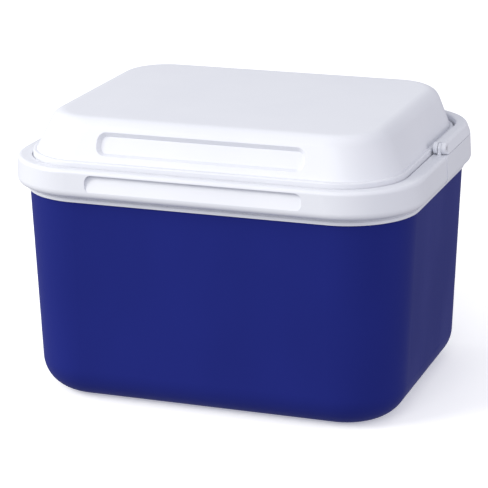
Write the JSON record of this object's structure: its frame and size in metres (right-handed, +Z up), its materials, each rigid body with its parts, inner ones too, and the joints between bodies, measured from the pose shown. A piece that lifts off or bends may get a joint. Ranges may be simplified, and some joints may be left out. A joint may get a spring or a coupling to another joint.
{
  "type": "vaccine carrier",
  "caption": "Insulated tapered carrier box with a collar, lift-off domed lid, swing handle, and ice packs standing round a vial space.",
  "frame": {"origin": "centre of the flat base, on the surface that the carrier stands on", "axes": "+X along the long front, to the right as seen from the front; -Y out of the front; +Z up"},
  "size_m": [0.3678, 0.284, 0.2555],
  "materials": {
    "blue_plastic": "satin",
    "white_plastic": "satin",
    "liner_plastic": "satin",
    "foam": "matte",
    "pad_foam": "matte",
    "seal_rubber": "matte",
    "steel": "satin",
    "pack_plastic": "satin",
    "cap_plastic": "matte"
  },
  "bodies": {
    "box": {"outer_shell": "blue_plastic", "body_foam": "foam", "inner_liner": "liner_plastic", "collar": "white_plastic", "foam_pad": "pad_foam", "ice_pack_front": "pack_plastic", "ice_pack_cap_front": "cap_plastic", "ice_pack_right": "pack_plastic", "ice_pack_cap_right": "cap_plastic", "ice_pack_rear": "pack_plastic", "ice_pack_cap_rear": "cap_plastic", "ice_pack_left": "pack_plastic", "ice_pack_cap_left": "cap_plastic"},
    "lid": {"lid_cover": "white_plastic", "lid_foam": "foam", "lid_inner_panel": "liner_plastic", "lid_seal": "seal_rubber", "lid_screws": "steel"},
    "handle": {"handle": "white_plastic", "handle_pin_left": "steel", "handle_pin_right": "steel"}
  },
  "joints": [
    {"name": "lid_lift", "type": "slide", "parent": "box", "child": "lid", "axis": [0, 0, 1], "range_m": [0, 0.06]},
    {"name": "handle_swing", "type": "hinge", "parent": "box", "child": "handle", "pos_m": [0, 0, 0.2222], "axis": [1, 0, 0], "range_deg": [0, 100]}
  ]
}
